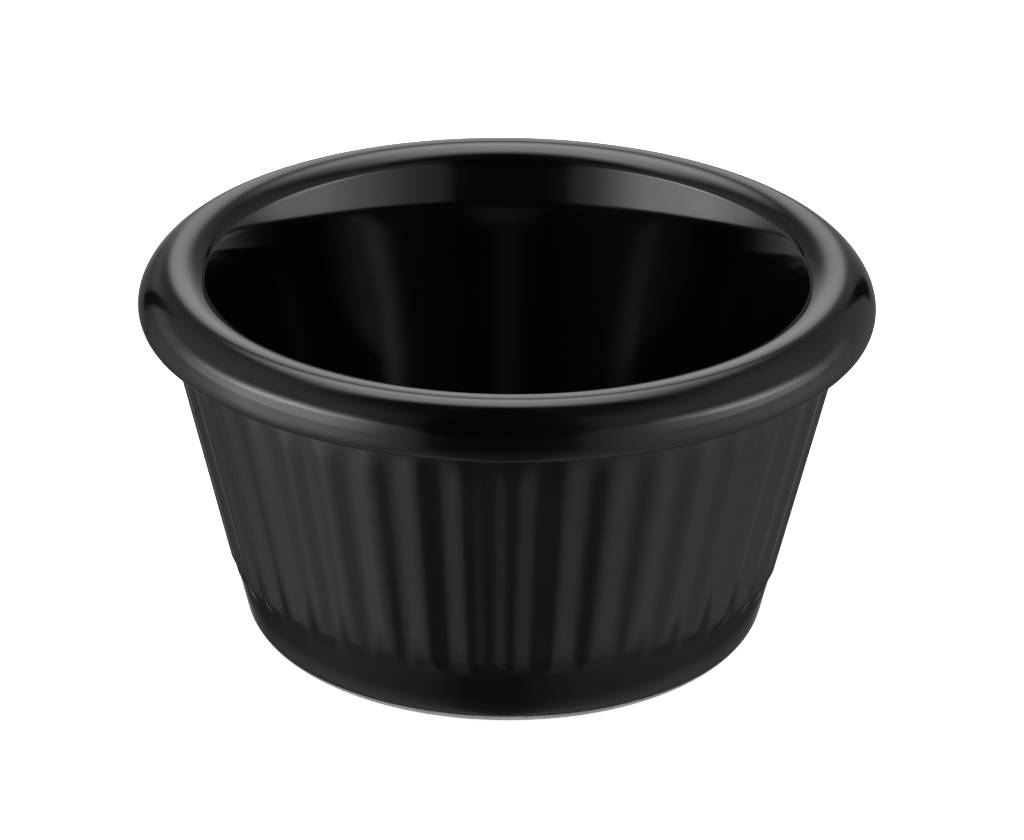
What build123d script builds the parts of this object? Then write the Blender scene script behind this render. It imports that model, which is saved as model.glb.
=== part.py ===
from build123d import *
import os
from math import asin, atan, cos, degrees, pi, sin

os.makedirs("parts", exist_ok=True)

# Ramekin: a small round baking dish with ribbed sides and a rolled rim, fired in one piece.
# A dark glaze coats all of it but the foot that it stands on.
# Millimetres, +Z up, origin at the centre of the base, front towards -Y.

# The dish, measured over its glaze
RIM_DIAMETER = 83.0
HEIGHT = 43.6
# Where the line of the wall would meet the table
FOOT_DIAMETER = 58.6
# Measured level, through the wall
WALL_THICKNESS = 5.55
FLOOR_THICKNESS = 5.0
FLOOR_CORNER_RADIUS = 9.0

# The rolled rim, from its outermost point in to the edge of the bowl, and from its crest down
RIM_WIDTH = 7.62
RIM_DEPTH = 6.0
# How far the rim stands out over the top of the wall
RIM_OVERHANG = 3.6
# The hollow corner where the underside of the rim meets the wall, and how far that side slopes down
UNDER_RIM_RADIUS = 0.8
UNDER_RIM_SLOPE = 0.4

# The rim's outline from the crest outwards and down, in shares of its width and depth
CREST_IN_SHARE = 0.538
SHOULDER_IN_SHARE = 0.319
SHOULDER_DOWN_SHARE = 0.085
CHEEK_IN_SHARE = 0.039
CHEEK_DOWN_SHARE = 0.515
SIDE_DOWN_SHARE = 0.745
JAW_IN_SHARE = 0.026
JAW_DOWN_SHARE = 0.91
CHIN_IN_SHARE = 0.119
# And from the crest in, over the lip where the rim rounds down into the bowl
LIP_IN_SHARE = 0.94
LIP_DOWN_SHARE = 0.176
BOWL_EDGE_DOWN_SHARE = 0.275

# Upright ribs round the wall: the height they stand proud, how deep they are let in, and their share of the pitch
RIB_COUNT = 44
RIB_PROUD = 0.35
RIB_SUNK = 0.2
RIB_WIDTH_SHARE = 0.86
# The plain bands that the ribs leave above the table and under the rim
PLAIN_BAND_LOW = 7.0
PLAIN_BAND_HIGH = 0.9
# Degrees round from the front to the middle of the first rib
RIB_TURN = 1.5

# The bare foot: its round heel, the flat ring that it stands on and the shallow recess inside
HEEL_RADIUS = 3.3
FOOT_RING_WIDTH = 2.6
RECESS_DEPTH = 0.8
RECESS_CORNER_RADIUS = 0.6

# The glaze, and the height above the table where it ends
GLAZE_THICKNESS = 0.3
GLAZE_LINE_HEIGHT = 1.25

OVERRUN = 2.0

# Points of the section, radius and height, over the glaze
rim_radius = RIM_DIAMETER / 2
foot_radius = FOOT_DIAMETER / 2
root_height = HEIGHT - RIM_DEPTH - UNDER_RIM_SLOPE
root = (rim_radius - RIM_OVERHANG, root_height)
wall_slope = (root[0] - foot_radius) / root_height
wall_draft = atan(wall_slope)
crest = (rim_radius - CREST_IN_SHARE * RIM_WIDTH, HEIGHT)
shoulder = (rim_radius - SHOULDER_IN_SHARE * RIM_WIDTH, HEIGHT - SHOULDER_DOWN_SHARE * RIM_DEPTH)
cheek = (rim_radius - CHEEK_IN_SHARE * RIM_WIDTH, HEIGHT - CHEEK_DOWN_SHARE * RIM_DEPTH)
side = (rim_radius, HEIGHT - SIDE_DOWN_SHARE * RIM_DEPTH)
jaw = (rim_radius - JAW_IN_SHARE * RIM_WIDTH, HEIGHT - JAW_DOWN_SHARE * RIM_DEPTH)
chin = (rim_radius - CHIN_IN_SHARE * RIM_WIDTH, HEIGHT - RIM_DEPTH)
# The outline runs one glaze thickness under the table, so that the ware inside it stands on the table
heel = (foot_radius - wall_slope * GLAZE_THICKNESS, -GLAZE_THICKNESS)
under_centre = (0, -GLAZE_THICKNESS)

lip = (rim_radius - LIP_IN_SHARE * RIM_WIDTH, HEIGHT - LIP_DOWN_SHARE * RIM_DEPTH)
bowl_edge = (rim_radius - RIM_WIDTH, HEIGHT - BOWL_EDGE_DOWN_SHARE * RIM_DEPTH)
bowl_radius = foot_radius - WALL_THICKNESS
flare = (bowl_radius + wall_slope * (HEIGHT - RIM_DEPTH), HEIGHT - RIM_DEPTH)
floor_corner = (bowl_radius + wall_slope * FLOOR_THICKNESS, FLOOR_THICKNESS)
floor_centre = (0, FLOOR_THICKNESS)

# Outside of the glaze, from the crest of the rim down to the middle of the underside
with BuildLine() as outside_line:
    rim_top = TangentArc(crest, shoulder, tangent=(1, 0))
    rim_shoulder = TangentArc(shoulder, cheek, tangent=rim_top % 1)
    rim_side = TangentArc(cheek, side, tangent=rim_shoulder % 1)
    rim_jaw = TangentArc(side, jaw, tangent=rim_side % 1)
    TangentArc(jaw, chin, tangent=rim_jaw % 1)
    Polyline(chin, root, heel, under_centre)
    fillet(outside_line.vertices().sort_by_distance(root)[0], UNDER_RIM_RADIUS)
    fillet(outside_line.vertices().sort_by_distance(heel)[0], HEEL_RADIUS + GLAZE_THICKNESS)

# Inside of the glaze in the bowl, from the crest of the rim down to the middle of the floor
with BuildLine() as bowl_line:
    rim_inside = TangentArc(crest, lip, tangent=(-1, 0))
    TangentArc(lip, bowl_edge, tangent=rim_inside % 1)
    TangentArc(flare, bowl_edge, tangent=(wall_slope, 1))
    Polyline(flare, floor_corner, floor_centre)
    fillet(bowl_line.vertices().sort_by_distance(floor_corner)[0], FLOOR_CORNER_RADIUS)

ware_outside_line = outside_line.wires()[0].offset_2d(GLAZE_THICKNESS, side=Side.RIGHT, closed=False)
ware_bowl_line = bowl_line.wires()[0].offset_2d(GLAZE_THICKNESS, side=Side.LEFT, closed=False)
ware_height = HEIGHT - GLAZE_THICKNESS

# The line of the wall at the two ends of a rib: up the wall, and square out from it
up_wall = Vector(sin(wall_draft), 0, cos(wall_draft))
off_wall = Vector(cos(wall_draft), 0, -sin(wall_draft))
rib_high_end = root_height - PLAIN_BAND_HIGH
rib_low_point = Vector(foot_radius + wall_slope * PLAIN_BAND_LOW, 0, PLAIN_BAND_LOW)
rib_high_point = Vector(foot_radius + wall_slope * rib_high_end, 0, rib_high_end)

# A rib is the proud part of a long round pin sunk in the wall, which grows with the pitch towards the rim
rib_low_width = RIB_WIDTH_SHARE * 2 * pi * rib_low_point.X / RIB_COUNT
rib_high_width = RIB_WIDTH_SHARE * 2 * pi * rib_high_point.X / RIB_COUNT
pin_low_radius = (rib_low_width**2 / 4 + RIB_PROUD**2) / (2 * RIB_PROUD)
pin_high_radius = (rib_high_width**2 / 4 + RIB_PROUD**2) / (2 * RIB_PROUD)
pin_low_centre = rib_low_point + up_wall * (rib_low_width / 2) + off_wall * (RIB_PROUD - pin_low_radius)
pin_high_centre = rib_high_point - up_wall * (rib_high_width / 2) + off_wall * (RIB_PROUD - pin_high_radius)
pin_line = pin_high_centre - pin_low_centre
pin_taper = asin((pin_high_radius - pin_low_radius) / pin_line.length)
pin_plane = Plane(origin=pin_low_centre, x_dir=(pin_line.Z, 0, -pin_line.X), z_dir=(0, -1, 0))


# The proud side of one such pin, as large as the glaze over a rib or set back from it
def rib_pin(set_back):
    low_radius = pin_low_radius - set_back
    high_radius = pin_high_radius - set_back
    taper_degrees = degrees(pin_taper)
    low_end = (low_radius * cos(pin_taper), -low_radius * sin(pin_taper))
    high_end = (high_radius * cos(pin_taper), pin_line.length - high_radius * sin(pin_taper))
    with BuildPart() as pin:
        with BuildSketch(pin_plane):
            with BuildLine():
                CenterArc((0, 0), low_radius, -90, 90 - taper_degrees)
                Line(low_end, high_end)
                CenterArc((0, pin_line.length), high_radius, -taper_degrees, 90 + taper_degrees)
                Line((0, pin_line.length + high_radius), (0, -low_radius))
            make_face()
        revolve(axis=Axis(pin_plane.origin, pin_plane.y_dir))
        sunk_face = Plane(origin=rib_low_point - off_wall * (RIB_SUNK + set_back), z_dir=off_wall)
        split(bisect_by=sunk_face, keep=Keep.TOP)
    return pin.part


glaze_pin = rib_pin(0)
ware_pin = rib_pin(GLAZE_THICKNESS)

# Stoneware body: the fired clay dish itself, with the bare foot ring and the recess under it
with BuildPart() as stoneware_body:
    with BuildSketch(Plane.XZ):
        with BuildLine():
            add(ware_outside_line)
            Polyline((0, 0), (0, ware_height), (crest[0], ware_height))
        make_face()
    revolve(axis=Axis.Z)
    with PolarLocations(0, RIB_COUNT, start_angle=RIB_TURN - 90):
        add(ware_pin)
    with BuildSketch(Plane.XZ):
        with BuildLine():
            add(ware_bowl_line)
            Line((crest[0], ware_height), (crest[0], ware_height + OVERRUN))
            Line((crest[0], ware_height + OVERRUN), (0, ware_height + OVERRUN))
            Line((0, ware_height + OVERRUN), (0, FLOOR_THICKNESS - GLAZE_THICKNESS))
        make_face()
    revolve(axis=Axis.Z, mode=Mode.SUBTRACT)
    foot_ring_radius = stoneware_body.faces().filter_by(Plane.XY).sort_by(Axis.Z)[0].bounding_box().max.X
    recess_radius = foot_ring_radius - FOOT_RING_WIDTH
    with BuildSketch(Plane.XZ):
        with BuildLine() as recess_line:
            Polyline((0, -OVERRUN), (recess_radius, -OVERRUN), (recess_radius, RECESS_DEPTH), (0, RECESS_DEPTH))
            Line((0, RECESS_DEPTH), (0, -OVERRUN))
            fillet(recess_line.vertices().sort_by_distance((recess_radius, RECESS_DEPTH))[0], RECESS_CORNER_RADIUS)
        make_face()
    revolve(axis=Axis.Z, mode=Mode.SUBTRACT)

# Glaze coat: one glossy skin from the line above the foot, up over the ribs and the rim and down all the bowl
with BuildPart() as glaze_coat:
    with BuildSketch(Plane.XZ):
        with BuildLine():
            add(outside_line.line)
            Polyline(under_centre, (0, HEIGHT), crest)
        make_face()
    revolve(axis=Axis.Z)
    with PolarLocations(0, RIB_COUNT, start_angle=RIB_TURN - 90):
        add(glaze_pin)
    with BuildSketch(Plane.XZ):
        with BuildLine():
            add(bowl_line.line)
            Line(crest, (crest[0], HEIGHT + OVERRUN))
            Line((crest[0], HEIGHT + OVERRUN), (0, HEIGHT + OVERRUN))
            Line((0, HEIGHT + OVERRUN), floor_centre)
        make_face()
    revolve(axis=Axis.Z, mode=Mode.SUBTRACT)
    add(stoneware_body.part, mode=Mode.SUBTRACT)
    split(bisect_by=Plane.XY.offset(GLAZE_LINE_HEIGHT), keep=Keep.TOP)

# Underside glaze: the separate patch in the recess, cut off from the coat by the bare foot ring
with BuildPart() as underside_glaze:
    with BuildSketch(Plane.XY.offset(RECESS_DEPTH - GLAZE_THICKNESS)):
        Circle(recess_radius)
    extrude(amount=GLAZE_THICKNESS)
    add(stoneware_body.part, mode=Mode.SUBTRACT)

stoneware_body.part.label = "stoneware_body"
glaze_coat.part.label = "glaze_coat"
underside_glaze.part.label = "underside_glaze"

export_step(stoneware_body.part, "parts/stoneware_body.step")
export_step(glaze_coat.part, "parts/glaze_coat.step")
export_step(underside_glaze.part, "parts/underside_glaze.step")
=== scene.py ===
import math

import bmesh
import bpy
from mathutils import Matrix, Vector


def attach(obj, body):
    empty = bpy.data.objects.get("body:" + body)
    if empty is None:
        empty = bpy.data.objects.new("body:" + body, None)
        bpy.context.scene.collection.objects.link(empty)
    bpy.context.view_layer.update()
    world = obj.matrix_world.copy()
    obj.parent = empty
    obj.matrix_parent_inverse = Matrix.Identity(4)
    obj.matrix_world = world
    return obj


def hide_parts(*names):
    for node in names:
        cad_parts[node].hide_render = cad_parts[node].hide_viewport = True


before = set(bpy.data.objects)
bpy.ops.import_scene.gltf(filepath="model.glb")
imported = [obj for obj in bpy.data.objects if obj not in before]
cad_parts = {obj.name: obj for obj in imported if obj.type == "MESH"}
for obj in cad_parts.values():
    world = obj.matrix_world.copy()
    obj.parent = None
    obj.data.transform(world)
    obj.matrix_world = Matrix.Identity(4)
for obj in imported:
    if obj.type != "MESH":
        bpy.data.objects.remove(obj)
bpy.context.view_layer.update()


# Fired dish
# The ramekin itself: grey stoneware, pressed in one piece and fired. The glaze hides all of it but
# the foot, where a strip of the round heel and the flat ring are wiped bare before the firing.

MM = 0.001
FULL_TURN = 2.0 * math.pi
DISH_STEPS = 264

GLAZE = 0.3 * MM
GLAZE_LINE = 1.4 * MM
RIM_RADIUS, HEIGHT = 41.5 * MM, 43.6 * MM
RIM_WIDTH, RIM_DEPTH = 7.62 * MM, 6.0 * MM
ROOT_RADIUS, ROOT_HEIGHT = 37.9 * MM, 37.2 * MM
FOOT_RADIUS, HEEL_ROUND = 29.3 * MM, 3.3 * MM
WALL_THICKNESS, FLOOR_THICKNESS, BOWL_ROUND = 5.55 * MM, 5.0 * MM, 9.0 * MM
RING_WIDTH, RING_CHAMFER = 2.6 * MM, 0.08 * MM
RECESS_DEPTH, RECESS_ROUND = 0.8 * MM, 0.6 * MM
MERGE_DISTANCE = 0.002 * MM

# The bare clay starts this angle, in radians, below the rolled edge of the glaze
EDGE_GAP = 0.056

wall_slope = (ROOT_RADIUS - FOOT_RADIUS) / ROOT_HEIGHT
wall_lean = math.atan(wall_slope)


def point(across, height):
    return Vector((across, 0.0, height))


def wall_point(height, inset=0.0):
    return point(FOOT_RADIUS + wall_slope * height - inset / math.cos(wall_lean), height)


def rim_point(inwards, down):
    """A point of the rim, by the share of its width inwards and the share of its depth down."""
    return point(RIM_RADIUS - inwards * RIM_WIDTH, HEIGHT - down * RIM_DEPTH)


def start_section(first):
    """A section starts as one vertex, which the lines and arcs draw on from."""
    mesh = bmesh.new()
    return mesh, mesh.verts.new(first)


def draw_line(mesh, last, end, cuts=0):
    """Straight stretch of a section, cut into equal steps where the ribs or the shading need them."""
    new = mesh.verts.new(end)
    edge = mesh.edges.new((last, new))
    if cuts:
        bmesh.ops.subdivide_edges(mesh, edges=[edge], cuts=cuts)
        new = min(mesh.verts, key=lambda vertex: (vertex.co - end).length)
    return new


def draw_arc(mesh, last, heading, end, steps):
    """Round stretch of a section, which leaves along the heading. Gives its end and the heading there."""
    start, chord = last.co.copy(), end - last.co
    left = Vector((-heading.z, 0.0, heading.x))
    turn = 2.0 * math.atan2(chord.dot(left), chord.dot(heading))
    centre = start + left * chord.length_squared / (2.0 * chord.dot(left))
    spun = bmesh.ops.spin(mesh, geom=[last], cent=centre, axis=(0, -1, 0), angle=turn, steps=steps,
                          use_duplicate=False)
    new = [vertex for vertex in spun["geom_last"] if isinstance(vertex, bmesh.types.BMVert)][0]
    new.co = end
    return new, Matrix.Rotation(turn, 3, (0, -1, 0)) @ heading


def draw_corner(mesh, last, corner, towards, radius, steps, cuts=0):
    """Straight stretch that ends in a rounded corner, which faces the point that comes next."""
    before, after = (corner - last.co).normalized(), (towards - corner).normalized()
    reach = radius * math.tan(before.angle(after) / 2.0)
    last = draw_line(mesh, last, corner - before * reach, cuts)
    return draw_arc(mesh, last, before, corner + after * reach, steps)[0]


def spin_section(mesh, angle, steps):
    """Turns a section round the middle of the dish, by a part of a turn or by the full one."""
    closed = angle == FULL_TURN
    bmesh.ops.spin(mesh, geom=mesh.verts[:] + mesh.edges[:], cent=(0, 0, 0), axis=(0, 0, 1),
                   angle=angle, steps=steps, use_merge=closed)


def finish_piece(mesh, name):
    """Closes the seams and the poles, turns the faces outwards and gives a smooth piece."""
    bmesh.ops.remove_doubles(mesh, verts=mesh.verts[:], dist=MERGE_DISTANCE)
    bmesh.ops.recalc_face_normals(mesh, faces=mesh.faces[:])
    for face in mesh.faces:
        face.smooth = True
    data = bpy.data.meshes.new(name)
    mesh.to_mesh(data)
    mesh.free()
    piece = bpy.data.objects.new(name, data)
    bpy.context.scene.collection.objects.link(piece)
    return piece


rim_crest = rim_point(0.538, 0.0)
rim_shoulder = rim_point(0.319, 0.085)
rim_cheek = rim_point(0.039, 0.515)
rim_side = rim_point(0.0, 0.745)
rim_jaw = rim_point(0.026, 0.91)
rim_chin = rim_point(0.119, 1.0)
rim_root = point(ROOT_RADIUS, ROOT_HEIGHT)
rim_lip = rim_point(0.94, 0.176)
bowl_edge = rim_point(1.0, 0.275)
bowl_flare = wall_point(HEIGHT - RIM_DEPTH) - point(WALL_THICKNESS, 0.0)
bowl_corner = wall_point(FLOOR_THICKNESS) - point(WALL_THICKNESS, 0.0)
bowl_middle = point(0.0, FLOOR_THICKNESS)

# Where the clay meets the glaze, from the root of the rim over its crest to the bowl's wall: the
# point of the glazed surface, and how far the clay is set back there, in millimetres
set_back = (
    (rim_root, -0.3, 0.3),
    (rim_chin, -0.3, 0.3),
    (rim_side, -0.3, 0.0),
    (rim_cheek, -0.28, -0.1),
    (rim_shoulder, -0.2, -0.4),
    (rim_crest, 0.0, -0.34),
    (rim_lip, 0.2, -0.34),
    (bowl_edge, 0.3, -0.15),
    (bowl_flare, 0.35, -0.07),
)
clay_line = [outer + point(across, up) * MM for outer, across, up in set_back]
clay_corner = bowl_corner + point(0.23, -0.3) * MM
clay_middle = point(0.0, FLOOR_THICKNESS - GLAZE)

heel_corner = wall_point(0.0, GLAZE)
ring_reach = HEEL_ROUND * math.tan((math.pi / 2.0 - wall_lean) / 2.0)
recess_radius = heel_corner.x - ring_reach - RING_WIDTH
heel_centre = point(heel_corner.x - ring_reach, HEEL_ROUND)
edge_angle = math.asin((HEEL_ROUND - GLAZE_LINE) / (HEEL_ROUND + GLAZE / 2.0))
clay_edge = edge_angle + EDGE_GAP
ring_edge = math.asin(HEEL_ROUND / (HEEL_ROUND + GLAZE))


def round_heel(angle, proud=0.0):
    """A point of the round heel, at an angle below level, and proud of the clay under the glaze."""
    return heel_centre + point(math.cos(angle), -math.sin(angle)) * (HEEL_ROUND + proud)


def up_heel(angle):
    """The direction up along the round heel, at an angle below level."""
    return point(math.sin(angle), math.cos(angle))


# The clay section: the recess, the ring, the bare heel, and then the side under the glaze
section, tip = start_section(point(0.0, RECESS_DEPTH))
tip = draw_line(section, tip, point(recess_radius - RECESS_ROUND, RECESS_DEPTH), 5)
tip, heading = draw_arc(section, tip, point(1, 0), point(recess_radius, RECESS_DEPTH - RECESS_ROUND), 6)
tip = draw_line(section, tip, point(recess_radius, RING_CHAMFER))
tip = draw_line(section, tip, point(recess_radius + RING_CHAMFER, 0.0))
tip = draw_line(section, tip, round_heel(ring_edge, GLAZE), 2)
tip, heading = draw_arc(section, tip, up_heel(ring_edge), round_heel(clay_edge, GLAZE), 8)
tip = draw_line(section, tip, round_heel(clay_edge))
tip, heading = draw_arc(section, tip, up_heel(clay_edge), round_heel(wall_lean), 8)
tip = draw_line(section, tip, clay_line[0], 3)
for stop in clay_line[1:]:
    tip = draw_line(section, tip, stop)
tip = draw_corner(section, tip, clay_corner, clay_middle, BOWL_ROUND + GLAZE, 8)
draw_line(section, tip, clay_middle)
spin_section(section, FULL_TURN, DISH_STEPS)
fired_dish = finish_piece(section, "fired_dish")


def new_material(name):
    """An empty node material and a short way to add a node to it and to link two sockets."""
    material = bpy.data.materials.new(name)
    material.use_nodes = True
    tree = material.node_tree
    tree.nodes.clear()

    def add(kind, **values):
        node = tree.nodes.new(kind)
        for key, value in values.items():
            setattr(node, key, value)
        return node

    return material, add, tree.links.new


def set_stops(ramp, stops):
    """Gives a Color Ramp node its stops, each a place along it and a colour."""
    elements = ramp.color_ramp.elements
    while len(elements) < len(stops):
        elements.new(0.5)
    for element, (place_along, colour) in zip(elements, stops):
        element.position = place_along
        element.color = (*colour, 1.0)


# Bare clay: a fine sandy grain, soft clouds of tone and a few dark iron specks
bare_clay, add, link = new_material("bare_stoneware")
place = add("ShaderNodeTexCoord")
grain = add("ShaderNodeTexNoise")
grain.inputs["Scale"].default_value = 2600.0
grain.inputs["Detail"].default_value = 4.0
cloud = add("ShaderNodeTexNoise")
cloud.inputs["Scale"].default_value = 140.0
speck = add("ShaderNodeTexVoronoi")
speck.inputs["Scale"].default_value = 900.0
speck_size = add("ShaderNodeMapRange")
speck_size.inputs["From Min"].default_value = 0.10
speck_size.inputs["From Max"].default_value = 0.22
tone = add("ShaderNodeValToRGB")
set_stops(tone, ((0.3, (0.18, 0.177, 0.174)), (0.75, (0.26, 0.255, 0.25))))
specked = add("ShaderNodeMix", data_type="RGBA")
specked.inputs["A"].default_value = (0.11, 0.107, 0.104, 1.0)
bump = add("ShaderNodeBump")
bump.inputs["Strength"].default_value = 0.4
bump.inputs["Distance"].default_value = 0.05 * MM
clay = add("ShaderNodeBsdfPrincipled")
clay.inputs["Roughness"].default_value = 0.85
clay.inputs["IOR"].default_value = 1.45
out = add("ShaderNodeOutputMaterial")
for texture in (grain, cloud, speck):
    link(place.outputs["Object"], texture.inputs["Vector"])
link(cloud.outputs["Fac"], tone.inputs["Fac"])
link(speck.outputs["Distance"], speck_size.inputs["Value"])
link(speck_size.outputs["Result"], specked.inputs["Factor"])
link(tone.outputs["Color"], specked.inputs["B"])
link(specked.outputs["Result"], clay.inputs["Base Color"])
link(grain.outputs["Fac"], bump.inputs["Height"])
link(bump.outputs["Normal"], clay.inputs["Normal"])
link(clay.outputs["BSDF"], out.inputs["Surface"])

fired_dish.data.materials.append(bare_clay)
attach(fired_dish, "root")
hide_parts("stoneware_body")


# Glaze coat
# One glassy black skin, poured and dipped over the raw clay and melted in the kiln. It runs from
# a line above the foot up over the ribs and the rolled rim, and down all of the bowl.

RIB_COUNT, RIB_PROUD, STEPS_PER_RIB = 44, 0.35 * MM, 16
RIB_LOW, RIB_LOW_END, RIB_LOW_CUTS = 6.8 * MM, 2.4 * MM, 10
RIB_HIGH, RIB_HIGH_END, RIB_HIGH_CUTS = 36.6 * MM, 4.0 * MM, 6
RIB_TURN = math.radians(1.5)
ROOT_ROUND, ROOT_START = 0.8 * MM, 0.62 * MM
HEEL_TOP = 4.0 * MM
ON_WALL, RIB_MARGIN = 0.01 * MM, 0.2 * MM

# The hidden side against the clay first, from the middle of the floor out, up and over to the foot
section, tip = start_section(clay_middle)
tip = draw_corner(section, tip, clay_corner, bowl_flare, BOWL_ROUND + GLAZE, 5)
for stop in reversed(clay_line):
    tip = draw_line(section, tip, stop)
tip = draw_line(section, tip, wall_point(HEEL_TOP, GLAZE))
tip = draw_line(section, tip, round_heel(wall_lean))
tip, heading = draw_arc(section, tip, -up_heel(wall_lean), round_heel(edge_angle), 5)

# The rolled lower edge of the glaze, then the side that shows: heel, wall, rim and bowl
tip, heading = draw_arc(section, tip, -up_heel(edge_angle), round_heel(edge_angle, GLAZE), 4)
tip, heading = draw_arc(section, tip, up_heel(edge_angle), round_heel(wall_lean, GLAZE), 6)
tip = draw_line(section, tip, wall_point(RIB_LOW - RIB_MARGIN / 2.0), 2)
tip = draw_line(section, tip, wall_point(RIB_LOW + RIB_LOW_END), RIB_LOW_CUTS)
tip = draw_line(section, tip, wall_point(RIB_HIGH - RIB_HIGH_END), 4)
tip = draw_line(section, tip, wall_point(ROOT_HEIGHT - ROOT_START), RIB_HIGH_CUTS)
tip = draw_corner(section, tip, rim_root, rim_chin, ROOT_ROUND, 4)
tip = draw_line(section, tip, rim_chin)

# The arcs of the rim run smoothly into each other and are level at the crest. Mirroring that
# heading in each chord, from the crest down, gives the heading at the chin, where they start.
heading = Vector((-1, 0, 0))
outer_rim = (rim_crest, rim_shoulder, rim_cheek, rim_side, rim_jaw, rim_chin)
for far, near in zip(outer_rim, outer_rim[1:]):
    chord = (far - near).normalized()
    heading = 2.0 * chord.dot(heading) * chord - heading
rim_stops = (
    (rim_jaw, 6),
    (rim_side, 3),
    (rim_cheek, 6),
    (rim_shoulder, 9),
    (rim_crest, 6),
    (rim_lip, 9),
    (bowl_edge, 7),
    (bowl_flare, 9),
)
for stop, steps in rim_stops:
    tip, heading = draw_arc(section, tip, heading, stop, steps)
tip = draw_corner(section, tip, bowl_corner, bowl_middle, BOWL_ROUND, 12, 2)
draw_line(section, tip, bowl_middle, 2)

# The section is spun through one rib's share of the turn
pitch = FULL_TURN / RIB_COUNT
to_first_rib = Matrix.Rotation(RIB_TURN - math.pi / 2.0 - pitch / 2.0, 3, "Z")
bmesh.ops.rotate(section, verts=section.verts[:], cent=(0, 0, 0), matrix=to_first_rib)
spin_section(section, pitch, STEPS_PER_RIB)

# One rib is pushed out of the plain wall, square to it: a soft wave across, fading out at both ends
for vertex in section.verts:
    radius = math.hypot(vertex.co.x, vertex.co.y)
    on_wall = abs(radius - FOOT_RADIUS - wall_slope * vertex.co.z) < ON_WALL
    if not (on_wall and RIB_LOW - RIB_MARGIN < vertex.co.z < RIB_HIGH + RIB_MARGIN):
        continue
    around = math.atan2(vertex.co.x, -vertex.co.y)
    wave = 0.5 + 0.5 * math.cos((around - RIB_TURN) * RIB_COUNT)
    low_end = min(1.0, max(0.0, (vertex.co.z - RIB_LOW) / RIB_LOW_END))
    high_end = min(1.0, max(0.0, (RIB_HIGH - vertex.co.z) / RIB_HIGH_END))
    soft_start = low_end * low_end * (3.0 - 2.0 * low_end)
    round_end = 1.0 - (1.0 - high_end) ** 2
    proud = RIB_PROUD * wave * soft_start * round_end
    reach = radius + proud * math.cos(wall_lean)
    lift = vertex.co.z - proud * math.sin(wall_lean)
    vertex.co = Vector((reach * math.sin(around), -reach * math.cos(around), lift))

# That sector, with its rib, is repeated all round the dish
sector = section.verts[:] + section.edges[:] + section.faces[:]
bmesh.ops.spin(section, geom=sector, cent=(0, 0, 0), axis=(0, 0, 1), angle=FULL_TURN - pitch,
               steps=RIB_COUNT - 1, use_duplicate=True)
glaze_coat_skin = finish_piece(section, "black_glaze_coat")

# Black gloss glaze: deep and glassy, with the faint waviness and orange peel of a fired surface
black_glaze, add, link = new_material("black_gloss_glaze")
place = add("ShaderNodeTexCoord")
flow = add("ShaderNodeTexNoise")
flow.inputs["Scale"].default_value = 55.0
flow.inputs["Detail"].default_value = 2.0
peel = add("ShaderNodeTexNoise")
peel.inputs["Scale"].default_value = 900.0
peel.inputs["Detail"].default_value = 1.0
sheen_map = add("ShaderNodeMapRange")
sheen_map.inputs["From Min"].default_value = 0.3
sheen_map.inputs["From Max"].default_value = 0.7
sheen_map.inputs["To Min"].default_value = 0.05
sheen_map.inputs["To Max"].default_value = 0.09
tone = add("ShaderNodeValToRGB")
set_stops(tone, ((0.3, (0.0008, 0.0008, 0.0009)), (0.75, (0.0018, 0.0018, 0.0017))))
waves = add("ShaderNodeBump")
waves.inputs["Strength"].default_value = 0.12
waves.inputs["Distance"].default_value = 0.05 * MM
ripples = add("ShaderNodeBump")
ripples.inputs["Strength"].default_value = 0.05
ripples.inputs["Distance"].default_value = 0.01 * MM
glass = add("ShaderNodeBsdfPrincipled")
glass.inputs["IOR"].default_value = 1.5
out = add("ShaderNodeOutputMaterial")
for texture in (flow, peel):
    link(place.outputs["Object"], texture.inputs["Vector"])
link(flow.outputs["Fac"], sheen_map.inputs["Value"])
link(flow.outputs["Fac"], tone.inputs["Fac"])
link(flow.outputs["Fac"], waves.inputs["Height"])
link(peel.outputs["Fac"], ripples.inputs["Height"])
link(waves.outputs["Normal"], ripples.inputs["Normal"])
link(sheen_map.outputs["Result"], glass.inputs["Roughness"])
link(tone.outputs["Color"], glass.inputs["Base Color"])
link(ripples.outputs["Normal"], glass.inputs["Normal"])
link(glass.outputs["BSDF"], out.inputs["Surface"])

glaze_coat_skin.data.materials.append(black_glaze)
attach(glaze_coat_skin, "root")
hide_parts("glaze_coat")


# Underside glaze
# The same black glaze in the shallow recess of the underside. It is a patch of its own, because
# the foot ring round it is wiped bare so that the dish doesn't stick to the kiln shelf.

PATCH_SUNK, PATCH_STEPS = 0.01 * MM, 132
BEND_IN, BEND_DOWN = 0.14 * MM, 0.22 * MM

hidden_rim = point(recess_radius - RECESS_ROUND, RECESS_DEPTH - PATCH_SUNK)
hidden_bend = point(recess_radius - BEND_IN, RECESS_DEPTH - BEND_DOWN)
open_rim = point(recess_radius - GLAZE, RECESS_DEPTH - GLAZE)

section, tip = start_section(point(0.0, RECESS_DEPTH - PATCH_SUNK))
tip = draw_line(section, tip, hidden_rim, 2)
tip = draw_line(section, tip, hidden_bend, 1)
tip, heading = draw_arc(section, tip, point(0, -1), open_rim, 4)
draw_line(section, tip, point(0.0, RECESS_DEPTH - GLAZE), 5)
spin_section(section, FULL_TURN, PATCH_STEPS)
underside_patch = finish_piece(section, "underside_glaze_patch")
underside_patch.data.materials.append(black_glaze)
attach(underside_patch, "root")
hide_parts("underside_glaze")


# White table
# A plain white table under the dish, clear when it is seen from below so that the foot shows.
# A band of shade lies on it round the foot, and is seen only as the glaze mirrors it.

TABLE_HALF = 4.0
SHADE_RADIUS, SHADE_START, SHADE_END = 60.0 * MM, 30.0 * MM, 40.0 * MM
HAIR = 0.01 * MM


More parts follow.
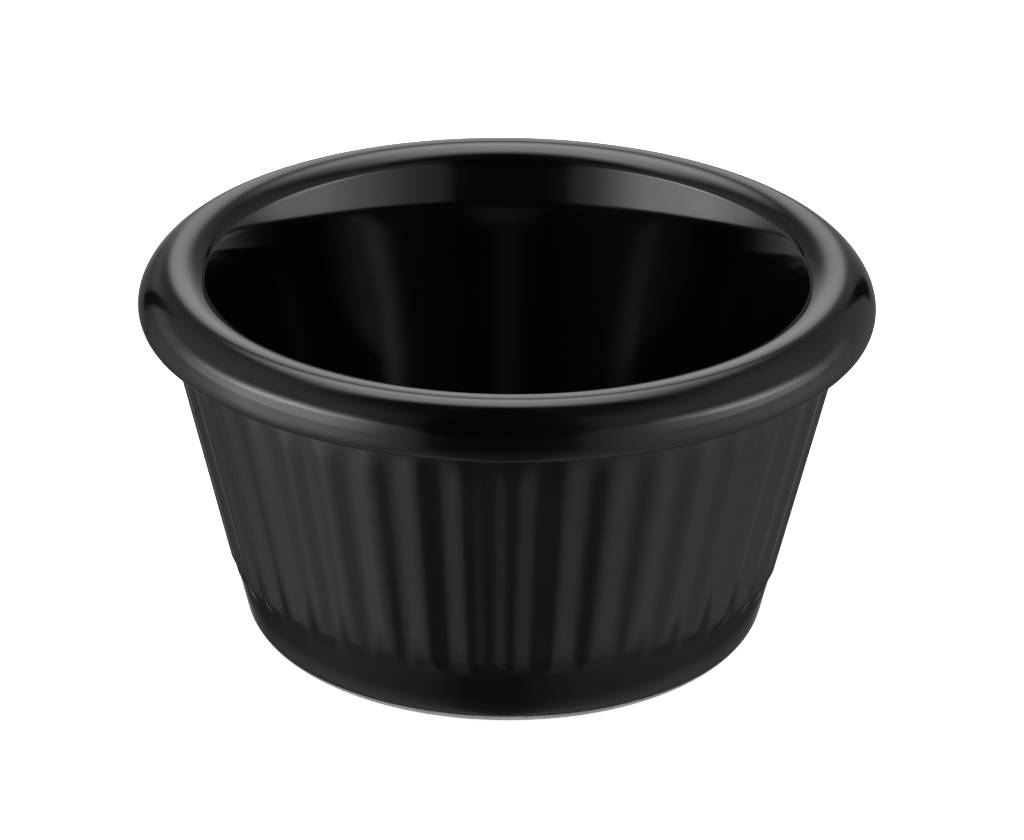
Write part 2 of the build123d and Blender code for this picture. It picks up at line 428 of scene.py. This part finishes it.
def lay_flat(shape, name, height):
    """Puts a flat shape into the scene at a height, level with the table."""
    sheet = bpy.data.meshes.new(name)
    shape.to_mesh(sheet)
    shape.free()
    flat = bpy.data.objects.new(name, sheet)
    flat.location.z = height
    bpy.context.scene.collection.objects.link(flat)
    return flat


shape = bmesh.new()
bmesh.ops.create_grid(shape, x_segments=1, y_segments=1, size=TABLE_HALF)
white_table = lay_flat(shape, "white_table", -HAIR)
white_table.visible_glossy = False
table_finish, add, link = new_material("plain_white_table")
paint = add("ShaderNodeBsdfPrincipled")
paint.inputs["Base Color"].default_value = (0.9, 0.9, 0.9, 1.0)
paint.inputs["Roughness"].default_value = 0.9
paint.inputs["Specular IOR Level"].default_value = 0.0
paint.inputs["Emission Color"].default_value = (1.0, 1.0, 1.0, 1.0)
paint.inputs["Emission Strength"].default_value = 0.75
side = add("ShaderNodeNewGeometry")
see_through = add("ShaderNodeBsdfTransparent")
either = add("ShaderNodeMixShader")
out = add("ShaderNodeOutputMaterial")
link(side.outputs["Backfacing"], either.inputs["Fac"])
link(paint.outputs["BSDF"], either.inputs[1])
link(see_through.outputs["BSDF"], either.inputs[2])
link(either.outputs["Shader"], out.inputs["Surface"])
white_table.data.materials.append(table_finish)

shape = bmesh.new()
bmesh.ops.create_circle(shape, cap_ends=True, segments=96, radius=SHADE_RADIUS)
foot_shade = lay_flat(shape, "foot_shade", HAIR)
foot_shade.visible_camera = foot_shade.visible_diffuse = foot_shade.visible_shadow = False
shade_finish, add, link = new_material("soft_foot_shade")
place = add("ShaderNodeTexCoord")
distance = add("ShaderNodeVectorMath", operation="LENGTH")
spread = add("ShaderNodeMapRange")
spread.inputs["From Min"].default_value = SHADE_START
spread.inputs["From Max"].default_value = SHADE_END
shade_band = add("ShaderNodeValToRGB")
shade_band.color_ramp.interpolation = "EASE"
shade_levels = ((0.05, 1.0), (0.32, 0.42), (0.44, 0.44), (0.98, 1.0))
set_stops(shade_band, [(place_along, [level] * 3) for place_along, level in shade_levels])
clear = add("ShaderNodeBsdfTransparent")
out = add("ShaderNodeOutputMaterial")
link(place.outputs["Object"], distance.inputs[0])
link(distance.outputs["Value"], spread.inputs["Value"])
link(spread.outputs["Result"], shade_band.inputs["Fac"])
link(shade_band.outputs["Color"], clear.inputs["Color"])
link(clear.outputs["BSDF"], out.inputs["Surface"])
foot_shade.data.materials.append(shade_finish)


# Camera
# A long lens half a metre away, 25 degrees above level, turned by a little over half a degree.
# It looks past the middle of the dish by a few pixels, as the picture is framed.

ELEVATION, ROLL, DISTANCE = math.radians(25.006), math.radians(0.619), 498.0 * MM
FOCAL_PIXELS, IMAGE_WIDTH, IMAGE_HEIGHT = 4355.3, 1024, 840
MIDDLE_ACROSS, MIDDLE_DOWN = 505.84, 435.40
SENSOR_WIDTH = 36.0

back = Vector((0.0, -math.cos(ELEVATION), math.sin(ELEVATION)))
upward = Vector((0.0, math.sin(ELEVATION), math.cos(ELEVATION)))
middle = point(0.0, HEIGHT / 2.0)
pixel = DISTANCE / FOCAL_PIXELS
aside = Vector((1, 0, 0)) * (IMAGE_WIDTH / 2 - MIDDLE_ACROSS) * pixel
look_at = middle + aside + upward * (MIDDLE_DOWN - IMAGE_HEIGHT / 2) * pixel
lens = bpy.data.cameras.new("studio_camera")
lens.sensor_width = SENSOR_WIDTH
lens.lens = FOCAL_PIXELS / IMAGE_WIDTH * SENSOR_WIDTH
lens.clip_start, lens.clip_end = 0.01, 20.0
camera = bpy.data.objects.new("studio_camera", lens)
camera.location = middle + back * DISTANCE
facing = (look_at - camera.location).to_track_quat("-Z", "Y").to_matrix() @ Matrix.Rotation(ROLL, 3, "Z")
camera.rotation_euler = facing.to_euler()
bpy.context.scene.collection.objects.link(camera)
bpy.context.scene.camera = camera
bpy.context.scene.view_settings.view_transform = "Standard"


# Studio light
# A wide lamp lights the table. The glaze is a mirror, so the soft boxes above, behind and at both
# sides are drawn in the sky, by degrees round from the front and degrees up from level.

LEVEL_TOP = 4.0

lamp = bpy.data.lights.new("table_lamp", "AREA")
lamp.shape = "SQUARE"
lamp.size = 3.0
lamp.energy = 60.0
table_lamp = bpy.data.objects.new("table_lamp", lamp)
table_lamp.location = (0.0, 0.2, 1.6)
table_lamp.visible_glossy = False
bpy.context.scene.collection.objects.link(table_lamp)

studio = bpy.data.worlds.new("soft_studio")
studio.use_nodes = True
bpy.context.scene.world = studio
sky = studio.node_tree
sky.nodes.clear()


def sky_node(kind, **values):
    node = sky.nodes.new(kind)
    for key, value in values.items():
        setattr(node, key, value)
    return node


def figure(operation, *values):
    """One Math node, fed by sockets or plain numbers."""
    node = sky_node("ShaderNodeMath", operation=operation)
    for socket, value in zip(node.inputs, values):
        if isinstance(value, bpy.types.NodeSocket):
            sky.links.new(value, socket)
        else:
            socket.default_value = value
    return node.outputs[0]


def times(first, *others):
    """The first light or share, made weaker or stronger by each of the others."""
    for other in others:
        first = figure("MULTIPLY", first, other)
    return first


def rest_of(share):
    return figure("SUBTRACT", 1.0, share)


def blend(share, without, whole):
    """Goes from one light to the other as the share goes from 0 to 1."""
    return figure("ADD", times(rest_of(share), without), times(share, whole))


def rise(value, low, high):
    """0 below low, 1 above high and a smooth ramp between."""
    node = sky_node("ShaderNodeMapRange", interpolation_type="SMOOTHSTEP")
    sky.links.new(value, node.inputs["Value"])
    node.inputs["From Min"].default_value = low
    node.inputs["From Max"].default_value = high
    return node.outputs["Result"]


def fall(value, low, high):
    """1 below low, 0 above high and a smooth ramp between."""
    return rest_of(rise(value, low, high))


direction = sky_node("ShaderNodeTexCoord")
axes = sky_node("ShaderNodeSeparateXYZ")
sky.links.new(direction.outputs["Generated"], axes.inputs["Vector"])
x, y, z = axes.outputs
degrees_round = figure("DEGREES", figure("ARCTAN2", x, times(y, -1.0)))
degrees_up = figure("DEGREES", figure("ARCSINE", z))


def ring(*stops):
    """A light level that changes with the degrees round, given as (degrees, level) from -180 to 180."""
    spread = sky_node("ShaderNodeMapRange")
    sky.links.new(degrees_round, spread.inputs["Value"])
    spread.inputs["From Min"].default_value = -180.0
    spread.inputs["From Max"].default_value = 180.0
    ramp = sky_node("ShaderNodeValToRGB")
    sky.links.new(spread.outputs["Result"], ramp.inputs["Fac"])
    set_stops(ramp, [((degrees + 180.0) / 360.0, [level / LEVEL_TOP] * 3) for degrees, level in stops])
    return times(ramp.outputs["Color"], LEVEL_TOP)


# The table as the wall and the underside of the rim mirror it, dim in front where the camera stands
table_light = ring(
    (-180, 0.5), (-168, 0.28), (-160, 0.12), (-146, 0.11), (-130, 0.19), (-113, 0.33), (-96, 0.48),
    (-60, 0.56), (-38, 0.47), (-22, 0.2), (-8, 0.15), (10, 0.15), (25, 0.31), (42, 0.5), (65, 0.56),
    (85, 0.5), (103, 0.4), (120, 0.26), (136, 0.16), (152, 0.1), (168, 0.16), (180, 0.5))

# The level band: a strong soft box at the left, a weaker one at the right, and the dim room between
level_light = ring(
    (-180, 0.9), (-160, 0.22), (-142, 0.14), (-112, 0.66), (-97, 1.4), (-84, 2.8), (-56, 2.6),
    (-38, 1.05), (-28, 0.55), (-22, 0.1), (-14, 0.03), (12, 0.03), (20, 0.07), (27, 0.45), (52, 1.0),
    (75, 1.3), (95, 1.2), (112, 0.68), (127, 0.38), (155, 0.2), (168, 0.35), (180, 0.7))

# The upper part of both side boxes is brighter
upper_boxes = ring(
    (-180, 0.0), (-118, 0.3), (-100, 1.6), (-78, 2.0), (-56, 1.6), (-34, 0.0), (40, 0.0), (60, 0.8),
    (78, 1.7), (98, 1.5), (114, 0.3), (130, 0.0))
level_light = figure("ADD", level_light, times(upper_boxes, rise(degrees_up, 0.0, 7.0)))

# Above the boxes the grey walls of the room darken upwards
room_walls = ring(
    (-180, 0.9), (-168, 0.4), (-157, 0.2), (-140, 0.28), (-105, 0.66), (-60, 0.62), (-38, 0.3),
    (-25, 0.07), (0, 0.03), (25, 0.1), (38, 0.4), (60, 0.6), (105, 0.58), (125, 0.4), (150, 0.24),
    (168, 0.4), (180, 0.9))
room_walls = times(room_walls, blend(rise(degrees_up, 42.0, 70.0), 1.0, 0.12))

# The tops of the side boxes sink with distance: here in tens of degrees up
box_tops = ring(
    (-180, 1.0), (-112, 1.4), (-100, 1.62), (-85, 2.05), (-70, 2.5), (-50, 2.85), (-20, 3.0),
    (20, 2.9), (50, 2.75), (65, 2.3), (80, 1.87), (95, 1.45), (110, 1.1), (180, 1.0))
over_top = figure("SUBTRACT", degrees_up, times(box_tops, 10.0))

# Their upper edge is the brightest, sharp below and soft above
box_edges = ring(
    (-112, 0.0), (-98, 0.7), (-85, 2.3), (-70, 2.8), (-55, 1.2), (-42, 0.2), (-38, 0.0), (46, 0.0),
    (58, 0.8), (72, 2.0), (84, 1.8), (95, 0.9), (105, 0.0))
edge_line = times(rise(over_top, -4.0, 0.0), fall(over_top, 0.0, 11.0))
upper = blend(rise(over_top, -1.0, 6.0), level_light, room_walls)
upper = figure("ADD", upper, times(edge_line, box_edges, 2.0))
around = blend(rise(degrees_up, -56.0, -8.0), table_light, upper)

# A narrow pale backdrop straight behind the dish
from_back = figure("SUBTRACT", 180.0, figure("ABSOLUTE", degrees_round))
backdrop = times(fall(from_back, 5.0, 18.0), rise(degrees_up, 0.0, 18.0), fall(degrees_up, 30.0, 38.0))
around = figure("ADD", around, backdrop)

# The soft box overhead, a little to the back and to the left, fading towards its edges
upwards = figure("MAXIMUM", z, 0.05)
across_box, along_box = figure("DIVIDE", x, upwards), figure("DIVIDE", y, upwards)
overhead = times(rise(across_box, -0.68, -0.2), fall(across_box, 0.0, 0.6))
overhead = times(overhead, rise(along_box, -0.02, 0.3), fall(along_box, 0.7, 1.35), rise(z, 0.1, 0.2))
around = figure("ADD", around, times(overhead, 4.4))

# The dark opening in front, where the camera stands
opening = times(rise(degrees_round, -34.0, -22.0), fall(degrees_round, 18.0, 32.0))
opening = times(opening, rise(degrees_up, 19.0, 30.0), fall(degrees_up, 50.0, 64.0))
around = times(around, rest_of(times(opening, 0.92)))

# Two black flags stand behind the dish at the left and the right, as narrow upright strips
upright = times(degrees_up, 0.25)
from_left_flag = figure("ABSOLUTE", figure("SUBTRACT", figure("ADD", degrees_round, 144.8), upright))
from_right_flag = figure("ABSOLUTE", figure("ADD", figure("SUBTRACT", degrees_round, 151.2), upright))
flags = fall(figure("MINIMUM", from_left_flag, from_right_flag), 2.0, 4.5)
flags = times(flags, rise(degrees_up, -11.0, -5.0), fall(degrees_up, 10.0, 27.0))
around = times(around, rest_of(times(flags, 0.94)))

# The camera itself sees plain white behind the dish
around = blend(sky_node("ShaderNodeLightPath").outputs["Is Camera Ray"], around, 1.0)

glow = sky_node("ShaderNodeBackground")
sky.links.new(around, glow.inputs["Strength"])
sky_out = sky_node("ShaderNodeOutputWorld")
sky.links.new(glow.outputs["Background"], sky_out.inputs["Surface"])
